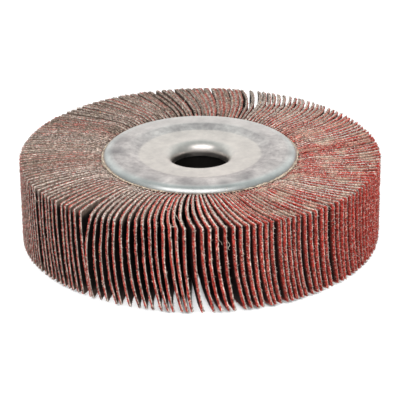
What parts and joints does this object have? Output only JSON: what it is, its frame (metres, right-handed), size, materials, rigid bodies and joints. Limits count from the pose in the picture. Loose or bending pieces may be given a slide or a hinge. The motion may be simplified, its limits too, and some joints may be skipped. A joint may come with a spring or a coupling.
{
  "type": "flap wheel",
  "caption": "Abrasive flap wheel: cloth flaps set on edge round a cast core, closed by a pressed steel flange on each side, with a plain spindle bore.",
  "frame": {"origin": "middle of the bore, halfway between the two flanges", "axes": "+Z along the bore axis, out of the upper flange; X and Y lie in the wheel's plane"},
  "size_m": [0.165, 0.165, 0.0424],
  "materials": {
    "abrasive_cloth": "coarse aluminium oxide grain on cotton cloth, matte",
    "cast_resin": "cast epoxy resin, dull",
    "zinc_steel": "pressed steel sheet, dull zinc plating with smudges"
  },
  "bodies": {
    "root": {"flap_pack": "abrasive_cloth", "flange_top": "zinc_steel", "flange_bottom": "zinc_steel"}
  },
  "joints": []
}
